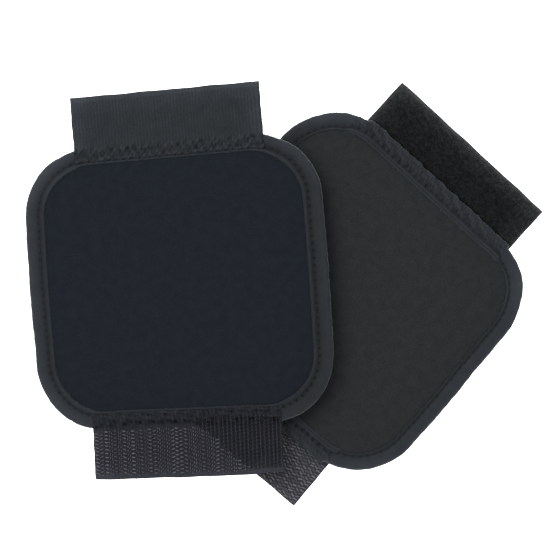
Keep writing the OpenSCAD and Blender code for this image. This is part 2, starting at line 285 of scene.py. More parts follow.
class Pad:
    """One pad's own frame in the pair, read from its hook fold and its hook face."""

    def __init__(self, side):
        fold = JOINTS[f"{side}_hook_fold"]
        self.side, self.lay, self.seed = side, LAY[side], SEED[side]
        self.x = -np.array(fold["axis"], float)
        self.z = np.array(MOUNTS[f"{side}_hook_face"]["axis"], float)
        self.x /= np.linalg.norm(self.x)
        self.z /= np.linalg.norm(self.z)
        self.y = np.cross(self.z, self.x)
        self.at = np.array(fold["pos_m"], float) / MM + self.y * FLAP_Y - self.z * HOOK_FOLD_Z

    def relax(self, p, tape):
        """Gives flat points the cloth's own lie: tape edges turned a little, sides eased in or out."""
        x, y, z = p[:, 0], p[:, 1], p[:, 2]
        lay = self.lay
        if tape:
            x = x + lay["shift"][tape]
            y = y + np.sign(y) * lay["reach"][tape] * ease(np.abs(y), FLAP_Y + FOLD_REACH, FLAP_END)
        loop, hook = math.tan(math.radians(lay["loop_taper"])), math.tan(math.radians(lay["hook_taper"]))
        up, down = np.clip(y / EDGE_Y, 0, 1), np.clip(-y / EDGE_Y, 0, 1)
        past_up, past_down = np.maximum(y - EDGE_Y, 0), np.maximum(-y - EDGE_Y, 0)
        x2 = x + lay["drift"] - past_up * loop - past_down * hook
        y2 = y + x * (loop * up - hook * down)
        drawn = ease(np.abs(y), EDGE_Y - DRAWN_IN, EDGE_Y)
        drawn = drawn * (1 - ease(np.abs(y), EDGE_Y + DRAWN_OUT, FLAP_END - DRAWN_TO))
        y2 -= np.sign(y) * lay["draw_in"] * bump(x, 0, DRAWN_HALF) * drawn
        for (px, py), (dx, dy), radius in lay["pushes"]:
            near = np.exp(-((x - px) ** 2 + (y - py) ** 2) / radius ** 2)
            x2, y2 = x2 + dx * near, y2 + dy * near
        return np.stack([x2, y2, z], 1)

    def place(self, p):
        """Points in the pair's frame, in metres."""
        return (self.at + p @ np.stack([self.x, self.y, self.z])) * MM

    def piece(self, name, points, faces, uv, finishes, slot, stands_for,
              uv_faces=None, tape=None, shade=None):
        """A mesh object from points in the pad's frame. Faces are turned so that they point outwards, and the
        floor presses flat what would go below it. finishes names one finish for each group of faces, the last
        for all that follow. shade is painted light and shade: from 0 to 1 at each point it darkens the finish
        as painted shade, in needle holes, dents and gaps and the like, and below 0 it lightens it as painted
        highlights and glow."""
        points = self.relax(points, tape)
        tri = np.concatenate([f[:, [0, k, k + 1]] for f in faces for k in range(1, f.shape[1] - 1)])
        a, b, c = (points[tri[:, k]] for k in range(3))
        inward = np.einsum("ij,ij->", a, np.cross(b, c)) < 0
        uv_faces = uv_faces or faces
        if inward:
            faces, uv_faces = [f[:, ::-1] for f in faces], [f[:, ::-1] for f in uv_faces]
        placed = self.place(points)
        placed[:, 2] = np.maximum(placed[:, 2], 0)
        mesh = cloth_mesh(f"{self.side}_{name}", placed, faces, uv, uv_faces)
        if shade is not None:
            dark = mesh.attributes.new("shade", "FLOAT", "POINT")
            dark.data.foreach_set("value", np.asarray(shade, np.float32).ravel())
        for one in finishes:
            mesh.materials.append(FINISH[one])
        which = np.minimum(np.arange(len(faces)), len(finishes) - 1)
        which = np.repeat(which, [len(f) for f in faces])
        mesh.polygons.foreach_set("material_index", which.astype(np.int32))
        made = bpy.data.objects.new(f"{self.side}_{name}", mesh)
        bpy.context.scene.collection.objects.link(made)
        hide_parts(*[f"{self.side}_{n}" for n in stands_for])
        return made

    def ride(self, made):
        """Fixes a piece to the pad."""
        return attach(made, f"{self.side}_pad")

    def fold(self, made, tape):
        """Bakes a tape piece's place into its points. It works out the ends of the fold line at the pad's
        edge, between the pad and its tab, but does not use them.
        """
        ends = [[0, TAPES[tape] * (FLAP_Y + reach), 0] for reach in (-FOLD_REACH, FOLD_REACH)]
        start, end = self.place(np.array(ends))
        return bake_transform(made)


# Finishes

class Field:
    """A value, colour or vector over a surface: one output socket of a material. Arithmetic on fields
    adds Math nodes, and node() adds any other node."""

    def __init__(self, tree, socket=None):
        self.tree, self.socket = tree, socket

    def feed(self, entry, value):
        """Links a field to an input socket, or sets the socket to a plain value."""
        if isinstance(value, Field):
            self.tree.links.new(value.socket, entry)
        else:
            entry.default_value = value

    def node(self, kind, settings=None, sockets=None, out=0):
        """Adds a node with its settings and its sockets' values or links, and gives one of its outputs."""
        made = self.tree.nodes.new(kind)
        for key, value in (settings or {}).items():
            setattr(made, key, value)
        for key, value in (sockets or {}).items():
            self.feed(made.inputs[key], value)
        return Field(self.tree, made.outputs[out])

    def math(self, operation, *values):
        """Adds a Math node."""
        return self.node("ShaderNodeMath", {"operation": operation}, dict(enumerate(values)))

    def __add__(self, other):
        return self.math("ADD", self, other)

    def __radd__(self, other):
        return self.math("ADD", other, self)

    def __sub__(self, other):
        return self.math("SUBTRACT", self, other)

    def __rsub__(self, other):
        return self.math("SUBTRACT", other, self)

    def __mul__(self, other):
        return self.math("MULTIPLY", self, other)

    def __rmul__(self, other):
        return self.math("MULTIPLY", other, self)

    def wave(self, pitch):
        """Sine of a length in mm, one turn for each pitch."""
        return self.math("SINE", self * (TAU / pitch))

    def step(self, low, high):
        """0 below low, 1 above high, smooth between."""
        return self.node("ShaderNodeMapRange", {"interpolation_type": "SMOOTHSTEP"},
                         {"Value": self, "From Min": low, "From Max": high})

    def blend(self, one, two):
        """The first colour where this is 0 and the second where it is 1."""
        return self.node("ShaderNodeMix", {"data_type": "RGBA"}, {0: self, 6: one, 7: two}, out=2)

    def axes(self):
        """The x, y and z of a vector."""
        parts = self.node("ShaderNodeSeparateXYZ", None, {0: self}).socket.node
        return [Field(self.tree, parts.outputs[k]) for k in range(3)]

    def noise(self, pitch, detail=2.0, rough=0.5):
        """Cloudy noise about 0.5, with features about one pitch across."""
        return self.node("ShaderNodeTexNoise", None,
                         {"Vector": self, "Scale": 1 / pitch, "Detail": detail, "Roughness": rough})


def rgb(r, g, b, share=1.0):
    """A colour from its screen levels of 0 to 255, in linear light."""
    line = [v / 255 for v in (r, g, b)]
    line = [v / 12.92 if v <= 0.04045 else ((v + 0.055) / 1.055) ** 2.4 for v in line]
    return (*[v * share for v in line], 1.0)


# How much of a finish's colour the deepest painted shade takes away
SHADE_MOST = 0.85


def finish(name, weave, relief, **fixed):
    """A cloth material. weave gives its colour, roughness and height from the cloth's own lengths in mm,
    and relief is how far that height stands, in mm."""
    made = bpy.data.materials.new(name)
    made.use_nodes = True
    tree = made.node_tree
    shader = tree.nodes["Principled BSDF"]
    for key, value in fixed.items():
        shader.inputs[key.replace("_", " ")].default_value = value
    start = Field(tree)
    flat = start.node("ShaderNodeUVMap", {"uv_map": "cloth"})
    colour, rough, height = weave(flat, *flat.axes()[:2])
    # Painted light and shade from each piece's shade attribute: darker above 0, lighter below 0
    shade = start.node("ShaderNodeAttribute", {"attribute_name": "shade"}, out=2)
    toned = start.node("ShaderNodeVectorMath", {"operation": "SCALE"},
                       {0: colour, "Scale": 1 - SHADE_MOST * shade})
    start.feed(shader.inputs["Base Color"], toned)
    start.feed(shader.inputs["Roughness"], rough)
    normal = start.node("ShaderNodeBump", None, {"Strength": 1.0, "Distance": relief * MM, "Height": height})
    start.feed(shader.inputs["Normal"], normal)
    return made


# The darker and the lighter tone of each cloth, as screen levels. LIGHT makes up for the lights' brightness.
LIGHT = 0.5
NAVY = rgb(29, 35, 42, LIGHT), rgb(41, 47, 55, LIGHT)
CHARCOAL = rgb(44, 46, 48, LIGHT), rgb(60, 61, 63, LIGHT)
BINDING = rgb(38, 42, 47, LIGHT), rgb(52, 56, 61, LIGHT)
TAPE = rgb(32, 37, 42, LIGHT), rgb(52, 57, 62, LIGHT)
GROUND = rgb(42, 44, 50, LIGHT), rgb(60, 62, 69, LIGHT)
GROUND_BACK = rgb(57, 58, 63, LIGHT), rgb(76, 77, 83, LIGHT)
PILE_BACK = rgb(52, 53, 54, LIGHT), rgb(84, 85, 86, LIGHT)
HOOK = rgb(70, 68, 78, LIGHT), rgb(110, 107, 120, LIGHT)
FLOAT = rgb(103, 104, 111, LIGHT), rgb(138, 139, 147, LIGHT)
PILE = rgb(22, 23, 24, LIGHT), rgb(42, 44, 45, LIGHT)
THREAD = rgb(40, 43, 48, LIGHT), rgb(52, 55, 60, LIGHT)
FOAM = rgb(24, 24, 25, LIGHT)


def jersey(tones):
    """Fine knit: columns of loops 0.7 mm apart, rows 0.5 mm apart, and soft mottling."""
    def weave(flat, u, v):
        loops = (u + v.wave(0.5) * 0.08).wave(0.7) * 0.5 + v.wave(0.5) * 0.25
        mottle = flat.noise(5.0, 3.0, 0.6)
        grain = flat.noise(0.9, 2.0, 0.7)
        tone = mottle.step(0.25, 0.75) * 0.4 + grain.step(0.25, 0.75) * 0.6
        return tone.blend(*tones), 0.82 + 0.1 * grain, loops + grain * 0.8
    return weave


def folded_tape(flat, u, v):
    """Binding: a stretch tape with fine ribs across it, a little shiny."""
    ribs = u.wave(0.8) * 0.5 + v.wave(0.45) * 0.3
    cloud = flat.noise(6.0, 3.0, 0.6)
    grain = flat.noise(0.9, 2.0, 0.7)
    tone = cloud.step(0.3, 0.7) * 0.3 + (ribs + 0.8) * 0.15 + grain.step(0.3, 0.7) * 0.5
    return tone.blend(*BINDING), 0.5 + 0.2 * grain, ribs + grain * 0.6


def woven(tones):
    """Woven tape: ribs across the tape 1.73 mm apart over a fine plain weave, lighter at the selvedge."""
    def weave(flat, u, v):
        cloud = flat.noise(7.0, 2.0, 0.5)
        ribs = u.wave(1.73) * cloud.step(0.2, 0.7)
        fine = u.wave(0.58) * v.wave(0.5)
        selvedge = v.step(FLAP_END - SELVEDGE_W, FLAP_END - SELVEDGE_W + 1.2)
        grain = flat.noise(1.3, 2.0, 0.7)
        tone = 0.4 + ribs * 0.26 + fine * 0.15 + (cloud - 0.5) * 0.8 + (grain - 0.5) * 1.2 + selvedge * 0.35
        return tone.blend(*tones), 0.55 + 0.1 * fine, ribs * 0.5 + fine * 0.4
    return weave


def plain(tones, low, high):
    """Even yarn with a fine grain."""
    def weave(flat, u, v):
        grain = flat.noise(0.5, 2.0, 0.6)
        return grain.step(0.3, 0.7).blend(*tones), low + (high - low) * grain, grain
    return weave


def twisted(tones):
    """Sewing thread: strands that wind round it."""
    def weave(flat, u, v):
        strand = (u + v * (0.5 / TAU)).wave(0.5)
        return (strand * 0.5 + 0.5).blend(*tones), 0.5 + 0.1 * strand, strand
    return weave


FINISH = {
    "navy_jersey": finish("navy_jersey", jersey(NAVY), 0.04, Specular_IOR_Level=0.05, Sheen_Weight=0.02),
    "charcoal_jersey": finish("charcoal_jersey", jersey(CHARCOAL), 0.04, Specular_IOR_Level=0.05,
                              Sheen_Weight=0.02),
    "binding_tape": finish("binding_tape", folded_tape, 0.05, Specular_IOR_Level=0.1, Sheen_Weight=0.25,
                           Sheen_Roughness=0.3),
    "loop_ground": finish("loop_tape_weave", woven(TAPE), 0.06, Specular_IOR_Level=0.1),
    "loop_under": finish("loop_tape_under", woven(PILE_BACK), 0.06, Specular_IOR_Level=0.1),
    "hook_ground": finish("hook_tape_weave", woven(GROUND), 0.06, Specular_IOR_Level=0.02),
    "hook_under": finish("hook_tape_under", woven(GROUND_BACK), 0.06, Specular_IOR_Level=0.1),
    "hook_nylon": finish("hook_nylon", plain(HOOK, 0.25, 0.4), 0.01, Specular_IOR_Level=0.4),
    "hook_back": finish("hook_back_nylon", plain(FLOAT, 0.3, 0.45), 0.01, Specular_IOR_Level=0.4),
    "loop_pile": finish("loop_pile", plain(PILE, 0.7, 0.9), 0.03, Specular_IOR_Level=0.1),
    "thread": finish("stitch_thread", twisted(THREAD), 0.03, Specular_IOR_Level=0.1),
    "seam_thread": finish("seam_thread", twisted(TAPE), 0.03, Specular_IOR_Level=0.1),
    "foam": finish("foam", plain((FOAM, FOAM), 0.8, 0.95), 0.1, Specular_IOR_Level=0.1),
}


# Pieces of a pad

GRID, GRID_FINER = 40, 4
COVER_INSET = 4.0

# How far each cover may rise, the cloth that swells, how long it swells for, how far past the binding it is
# held, and where a plain dome would reach its full height
SWELL = {"face": 0.7, "back": 0.22}
CLOTH = {"vertex_group_mass": "held", "quality": 6, "mass": 0.05, "tension_stiffness": 12,
         "bending_stiffness": 0.4, "use_pressure": True, "uniform_pressure_force": 4.0}
CLOTH_FRAMES, HELD_PAST, DOME_IN = 20, 0.5, 45

# A cover's unevenness, the pucker that the stitches pull beside the binding, and the mean radius there
UNEVEN, PUCKER, PUCKER_R = 0.1, 0.05, 88


def swell(height, x, y, s, cap):
    """Rise of a cover that is blown up like cloth: pressure from the foam, the rim held, the rise capped."""
    points = np.stack([x, y, height], -1).reshape(-1, 3) * MM
    mesh = bpy.data.meshes.new("swelling_cover")
    mesh.from_pydata(points.tolist(), [], grid_faces(*x.shape).tolist())
    cover = bpy.data.objects.new("swelling_cover", mesh)
    scene = bpy.context.scene
    scene.collection.objects.link(cover)
    held = cover.vertex_groups.new(name="held")
    held.add(np.flatnonzero(s.ravel() < BINDING_W + HELD_PAST).tolist(), 1.0, "REPLACE")
    cloth = cover.modifiers.new("cloth", "CLOTH")
    for key, value in CLOTH.items():
        setattr(cloth.settings, key, value)
    cloth.settings.effector_weights.gravity = 0.0
    cloth.point_cache.frame_start, cloth.point_cache.frame_end = 1, CLOTH_FRAMES
    for number in range(1, CLOTH_FRAMES + 1):
        scene.frame_set(number)
    shaped = cover.evaluated_get(bpy.context.evaluated_depsgraph_get())
    moved = np.zeros(len(points) * 3, np.float32)
    shaped.data.vertices.foreach_get("co", moved)
    bpy.data.objects.remove(cover)
    bpy.data.meshes.remove(mesh)
    scene.frame_set(1)
    rise = moved.reshape(-1, 3)[:, 2] / MM - height.ravel()
    return np.clip(rise, 0, cap).reshape(x.shape)


def cover_level(pad, face):
    """Height of a cover's outer skin above the middle plane, on a fine grid, and the grid's plan."""
    x, y = pad_grid(GRID, COVER_INSET)
    s = inset_of(x, y)
    level = shoulder(s, RIM_COVER - LAYER_GAP, MID_Z)
    cap = SWELL[face]
    dome = swell(level, x, y, s, cap)
    x, y = pad_grid(GRID * GRID_FINER, COVER_INSET)
    s = inset_of(x, y)
    level = shoulder(s, RIM_COVER - LAYER_GAP, MID_Z) + finer(dome, GRID_FINER)
    seed = pad.seed + (0 if face == "face" else 50)
    level += UNEVEN * wander(seed, (38, 52, 29), x, y) * ease(s, BINDING_W, 24)
    around = np.arctan2(y, x) * PUCKER_R
    level += PUCKER * np.sin(TAU * around / STITCH_PITCH) * bump(s, BINDING_W + 0.8, 1.6)
    return x, y, level


def covers_and_foam(pad):
    """Face cover, back cover and the foam between them, all on one grid: each cover is a thin sheet that
    follows its own height, and the foam fills the space that they leave."""
    inner = {}
    for face, sign, slot in (("face", 1, "navy_jersey"), ("back", -1, "charcoal_jersey")):
        x, y, level = cover_level(pad, face)
        skin = np.stack([x, y, MID_Z + sign * level], -1)
        lining = skin - [0, 0, sign * COVER_T]
        points, faces = slab(skin, lining)
        made = pad.piece(slot, points, faces, twice(x, y), [slot], slot, [f"{face}_cover"])
        pad.ride(made)
        inner[face] = lining - [0, 0, sign * LAYER_GAP]
    points, faces = slab(inner["face"], inner["back"])
    made = pad.piece("foam", points, faces, twice(x, y), ["foam"], "foam", ["foam_core"])
    pad.ride(made)


def zigzag_y(x):
    """Triangle wave of the zigzag seam about its middle line."""
    turn = x / ZIGZAG_PITCH
    return ZIGZAG_W / 2 * (4 * np.abs(turn - np.floor(turn + 0.5)) - 1)


# Needle holes each way from a tape's middle, how deep a zigzag leg lies, the share of a distance across the
# seam that is square to the leg, the leg's width and a hole's width
HOLES_A_SIDE, LEG_DEEP, LEG_SQUARE, LEG_W, HOLE_W = 45, 0.15, 0.47, 0.45, 0.8


def zigzag_dent(x, across, seed):
    """How deep the zigzag pulls the cloth in, 0 to 1: shallow along each leg, deep where the needle went
    through, uneven from hole to hole. across is the distance from the seam's middle line."""
    rng = np.random.default_rng(seed)
    aside = rng.normal(0, 0.5, (2 * HOLES_A_SIDE, 2))
    deep = rng.uniform(0.15, 1.0, 2 * HOLES_A_SIDE)
    half = ZIGZAG_PITCH / 2
    dent = LEG_DEEP * np.exp(-((across - zigzag_y(x)) * LEG_SQUARE / LEG_W) ** 2)
    for step in (0, 1):
        k = np.floor(x / half).astype(int) + step
        row = np.where(k % 2 == 0, -1, 1) * ZIGZAG_W / 2
        hole = k + HOLES_A_SIDE
        away = (x - k * half - aside[hole, 0]) ** 2 + (across - row - aside[hole, 1]) ** 2
        dent = np.maximum(dent, deep[hole] * np.exp(-away / HOLE_W ** 2))
    return dent


# Where across the edge a zigzag starts to pull and pulls in full, and where along each tape it starts and
# stops. The loop tape's runs on past the tape, over the binding.
SEWN_FROM, SEWN_FULL = EDGE_Y - 14, EDGE_Y - 11
SEAM_RUN = {"loop": (-TAPE_END + 0.5, TAPE_END + 6.0), "hook": (-TAPE_END + 0.5, TAPE_END - 0.5)}


def seam_zone(x, tape):
    """1 along the stretch that a tape's zigzag runs over, 0 past its ends."""
    low, high = SEAM_RUN[tape]
    return ease(x, low - 1, low + 1) * (1 - ease(x, high - 1, high + 1))


# Steps round the outline and across each part of the binding's section, how far the zigzags draw the seam on
# the back towards the edge, the roll outside the seam, the seam's valley and holes, the zigzags' dents and
# puffs on the back, and the lapped end
PATH_N, FACE_N, NOSE_N, LINING_N, INNER_N = 1250, 24, 13, 5, 7
SEAM_DRAWN = 1.2
ROLL_H, ROLL_FROM, ROLL_W = 0.5, 0.2, 7.6
VALLEY_D, VALLEY_W, PIT_D = 0.4, 1.1, 0.12
DENT_D, PUFF_H = 0.6, 0.25
LAP_H, LAP_FROM, LAP_TO = 0.3, 52.4, 66


def binding_profile():
    """Closed section of the folded tape, from its lip on the navy side round the nose to its lip on the back
    and home along its lining: inset, height, the direction square to the skin, distance from the nose's tip
    along the skin, and which points are skin."""
    flat = np.linspace(BINDING_W, RIM_BIND, FACE_N)
    nose = np.linspace(math.pi / 2, -math.pi / 2, NOSE_N)[1:-1]
    lining = np.linspace(BINDING_W, RIM_BIND, LINING_N)
    inner = np.linspace(-math.pi / 2, math.pi / 2, INNER_N)[1:-1]
    ones, short = np.ones(FACE_N), np.ones(LINING_N)
    inset = np.concatenate([flat, RIM_BIND - RIM_BIND * np.cos(nose), flat[::-1],
                            lining, RIM_BIND - RIM_COVER * np.cos(inner), lining[::-1]])
    height = np.concatenate([RIM_BIND * ones, RIM_BIND * np.sin(nose), -RIM_BIND * ones,
                             -RIM_COVER * short, RIM_COVER * np.sin(inner), RIM_COVER * short])
    out_s = np.concatenate([0 * ones, -np.cos(nose), 0 * ones, 0 * short, -np.cos(inner), 0 * short])
    out_z = np.concatenate([ones, np.sin(nose), -ones, -short, np.sin(inner), short])
    quarter = RIM_BIND * math.pi / 2
    hidden = np.zeros(2 * LINING_N + len(inner))
    reach = np.concatenate([quarter + flat - RIM_BIND, RIM_BIND * np.abs(nose),
                            quarter + flat[::-1] - RIM_BIND, hidden])
    skin = np.concatenate([np.ones(2 * FACE_N + len(nose)), hidden])
    return inset, height, out_s, out_z, reach, skin


def tape_zones(pad, x, y):
    """Where each tape's zigzag pulls at the binding, from 0 to 1."""
    return {tape: seam_zone(x - pad.lay["shift"][tape], tape) * ease(sign * y, SEWN_FROM, SEWN_FULL)
            for tape, sign in TAPES.items()}


def binding_relief(pad, t, x, y, s, face, reach):
    """How far the binding's skin stands from its plain section, and its painted light and shade: a puffed,
    squarish roll outside the seam, the seam's valley with a hole at the end of each stitch, a lip inside it,
    and puffs and dents under the zigzags on the back, where the seam is drawn out towards the edge. The
    holes, the valley, the dents and the gap between the lip's ridges get painted shade, and the ridges,
    puffs, nose, top of the roll and the lip beside the loop tape get painted highlights. The tape is painted
    lighter on the side of the pad towards the light than on the other, and lighter round the corners as a
    painted highlight where light falls on the roll. The lip is darker on the back."""
    zones = tape_zones(pad, x, y)
    front, back = face > 0, face < 0
    sewn = (zones["loop"] + zones["hook"]) * back
    seam = SEAM_INSET - SEAM_DRAWN * sewn
    hole = ((1 + np.cos(TAU * np.interp(t, KNOT_T, SEAM_T) / STITCH)) / 2) ** 2
    roll = ROLL_H * np.sin(math.pi * np.clip((reach - ROLL_FROM) / ROLL_W, 0, 1))
    roll = roll + 0.15 * bump(reach, 1.9, 1.1)
    roll = roll * (1 + 0.2 * wander(pad.seed + 3, (31, 17, 47), t, 3 * reach))
    valley = VALLEY_D * bump(s, seam, VALLEY_W)
    pit = hole * bump(s, seam - 0.1, 0.7)
    ridges = sewn * (bump(s, seam + 1.4, 0.4) + bump(s, BINDING_W - 1.2, 0.4))
    ridges = ridges + front * 0.6 * bump(s, BINDING_W - 0.5, 0.4)
    lip = (0.3 - 0.2 * back * (1 - sewn)) * ease(s, seam + 0.3, seam + 1.5) + 0.14 * ridges
    lip = lip - 0.6 * np.clip((s - BINDING_W + 0.5) / 0.5, 0, 1) ** 2
    stand = roll + lip - valley - PIT_D * pit + 0.06 * wander(pad.seed + 4, (5.5, 8, 3.7), t, 2 * reach)
    # Painted shade in the needle holes, the seam's valley and between the lip's ridges; painted highlights on
    # the ridges and the nose; the side of the pad towards the light painted lighter, the other darker
    shade = 0.85 * pit - 0.4 * ridges - 0.15 * bump(reach, 1.8, 1.6) + 0.14 * front * bump(s, seam - 0.5, 1.9)
    shade = shade + 0.35 * sewn * bump(s, (seam + BINDING_W + 0.2) / 2, 0.45) + 0.14 * x / EDGE_X
    # Painted highlight along the top of the roll, more on the lit side, and painted shade on the lip there
    crest_highlight = np.where(back, bump(reach, 2.4, 1.4), bump(reach, 3.0, 1.8))
    shade = shade - 0.07 * ease(-x, 60, 78) - 0.2 * crest_highlight
    shade = shade + 0.26 * front * ease(s, seam + 0.6, seam + 1.2) * ease(-x, 50, 72)
    # Painted highlight round the corners, where light falls on the roll, and a thin painted highlight line on
    # the back's corners towards the loop side
    corner = np.sin(2 * np.interp(t, KNOT_T, KNOT_TURN)) ** 2
    all_round, with_x, with_y = pad.lay["corner_highlight"]
    highlight_at_corners = corner * (all_round + with_x * x / EDGE_X + with_y * y / EDGE_Y)
    shade = shade - highlight_at_corners * (0.35 + 0.6 * bump(reach, 3.6, 2.0))
    shade = shade - 0.8 * back * corner * ease(y, 0, 40) * bump(s, seam + 1.9, 0.5)
    shade = shade + 0.18 * back * (1 - sewn) * ease(s, seam - 0.4, seam + 0.6)
    puff = np.clip(1.6 * wander(pad.seed + 5, (1.6, 2.1, 2.7, 3.6, 5.2), x, y), -1, 1) * ease(seam - s, 0, 1)
    for tape, sign in TAPES.items():
        along = x - pad.lay["shift"][tape]
        dent = zigzag_dent(along, sign * y - (EDGE_Y - ZIGZAG_INSET), pad.seed + 120 + sign)
        dent = dent * bump(s, ZIGZAG_INSET, 3.0) * zones[tape] * back
        stand = stand - DENT_D * dent
        # Painted shade in the zigzag's dents
        shade = shade + 0.5 * dent
        covered = ease(TAPE_END - np.abs(along), -0.9, 0.0) * front
        covered = covered * ease(sign * y, TAPE_IN - 0.1, TAPE_IN + 0.6)
        stand = stand * (1 - covered) - 0.06 * covered
    stand = stand + sewn * (0.1 + PUFF_H * puff)
    # Puffs painted lighter and the hollows between them darker, as painted light and shade
    shade = shade - 0.5 * sewn * puff
    # Painted highlight: glints along the lip beside the loop tape
    glint = 0.5 + 0.4 * wander(pad.seed + 9, (3.1, 5.3, 11), x)
    shade = shade - glint * zones["loop"] * front * bump(s, BINDING_W - 0.7, 0.7)
    stand = stand + 0.15 * zones["loop"] * front * bump(s, BINDING_W - 0.7, 0.6)
    return stand, np.clip(shade, -1, 1)


def edge_binding(pad):
    """Binding: its section carried round the outline, with the relief of its seam, and a lapped end."""
    t = np.arange(PATH_N) * OUTLINE_L / PATH_N
    inset, height, out_s, out_z, reach, skin = binding_profile()
    t2, s = np.broadcast_arrays(t[:, None], inset[None])
    x, y = outline(t2, s)
    stand, shade = binding_relief(pad, t2, x, y, s, out_z[None], reach[None])
    stand = stand * skin
    edge = 0.22 * wander(pad.seed + 6, (23, 41, 67), t) + 0.08 * wander(pad.seed + 7, (6.1, 9.3), t)
    rolled = seam_zone(x, "hook") * ease(np.abs(y), SEWN_FROM, SEWN_FULL) * ease(-out_z, -0.6, 0.4)
    rolled = rolled * (pad.lay["roll_out"] + 0.4 * wander(pad.seed + 8, (5.2, 8.4, 13), x))
    edge = edge[:, None] + rolled
    lap = LAP_H * ease(x, LAP_FROM, LAP_FROM + 0.5) * (1 - ease(x, LAP_TO, LAP_TO + 4))
    lap = lap * (y < -SEWN_FROM) * (out_z > 0) * skin
    zones = tape_zones(pad, x, y)
    sewn = zones["loop"] + zones["hook"]
    drawn = (0.6 * sewn + 0.45 * ease(x, 60, 75)) * ease(s, 8.4, 9.6) * (out_z > 0)
    drawn = drawn + (1.4 - sewn) * ease(s, 7.6, BINDING_W) * (out_z < 0)
    s = s + out_s * stand - edge * (1 - ease(s, 2, 9)) * skin - drawn
    x, y = outline(t2, s)
    z = MID_Z + height + out_z * (stand + lap)
    points = np.stack([x, y, z], -1).reshape(-1, 3)
    cols = len(inset)
    around = np.concatenate([[0], np.cumsum(np.hypot(np.diff(inset), np.diff(height)))])
    flat = np.stack(np.broadcast_arrays(np.append(t, OUTLINE_L)[:, None], around[None]), -1).reshape(-1, 2)
    faces = grid_faces(PATH_N, cols, wrap_rows=True, wrap_cols=True)
    uv_faces = grid_faces(PATH_N + 1, cols, wrap_cols=True)
    made = pad.piece("binding", points, [faces], flat, ["binding_tape"], "binding_tape",
                     ["edge_binding"], [uv_faces], shade=shade)
    pad.ride(made)


def binding_stitch(pad):
    """Lockstitch on both faces of the binding: short threads end to end in the seam's groove, each an arc
    that dives at both ends, left out where a tape covers the seam."""
    v = np.linspace(0, 1, 7)
    run = (np.arange(STITCH_N)[:, None] + 0.1 + 0.8 * v[None]) * STITCH
    round_edge = np.interp(run, SEAM_T, KNOT_T)
    rise = RIM_BIND - 0.3 + 0.06 * np.sin(math.pi * v) - 0.35 * np.abs(2 * v - 1) ** 4
    lines = []
    for sign in (1, -1):
        x, y = outline(round_edge, SEAM_INSET)
        zones = tape_zones(pad, x, y)
        x, y = outline(round_edge, SEAM_INSET - SEAM_DRAWN * (zones["loop"] + zones["hook"]) * (sign < 0))
        line = np.stack([x, y, MID_Z + sign * rise[None] + 0 * x], -1)
        under = (sign > 0) & (np.abs(x[:, 3]) < TAPE_END + 1) & (np.abs(y[:, 3]) > TAPE_IN - 1)
        lines.append(line[~under])
    points, faces, uv = tubes(np.concatenate(lines), THREAD_W, THREAD_R)
    pad.ride(pad.piece("lockstitch", points, faces, uv, ["thread"], "thread", ["binding_stitch"]))


# Points along and across a tape. The hook lattice: the columns' pitch where the wires slant, where they run
# across the tape and on its back, the share of columns that are broken up, the rows' pitch and the first row.
# The wires run across the tape past a line that leans outwards, which the lower tape doesn't reach.
TAPE_NX, TAPE_NY = 253, 91
UPRIGHT_FROM, UPRIGHT_LEAN = {"upper": 6.4, "lower": 2 * TAPE_L}, 1.2
COLUMN, COLUMN_UPRIGHT, COLUMN_BACK = 2.38, 2.2, 2.3
BROKEN_COLUMNS = 0.35
HOOK_ROW, HOOK_FIRST = 1.95, FLAP_Y + 1.4


def hook_row(pad):
    """Row pitch of the hooks that comes out as HOOK_ROW once the flap is drawn out to its reach."""
    return HOOK_ROW / (1 + 1.25 * pad.lay["reach"]["hook"] / (FLAP_END - FLAP_Y))


def tape_wave(pad, tape, x, w):
    """Gentle lift of a flap along its length and out from the fold, in mm. The lower pad's flaps lie on the
    floor, so theirs is all upwards."""
    wave = wander(pad.seed + (70 if tape == "loop" else 80), (64, 91, 47), x, w)
    wave = (wave - 1) / 2 if pad.side == "lower" else wave
    return 0.35 * wave * ease(w, FLAP_Y + 2, FLAP_END)


def tape_glow(x, w):
    """Painted glow: how much lighter a tape is painted towards its outer edge and its cut ends, near the
    white floor.
    """
    outer = np.clip((w - FLAP_END + 11) / 10, 0, 1) ** 1.3
    ends = np.clip((np.abs(x) - TAPE_END + 12.5) / 12.5, 0, 1) ** 1.6
    return outer, ends


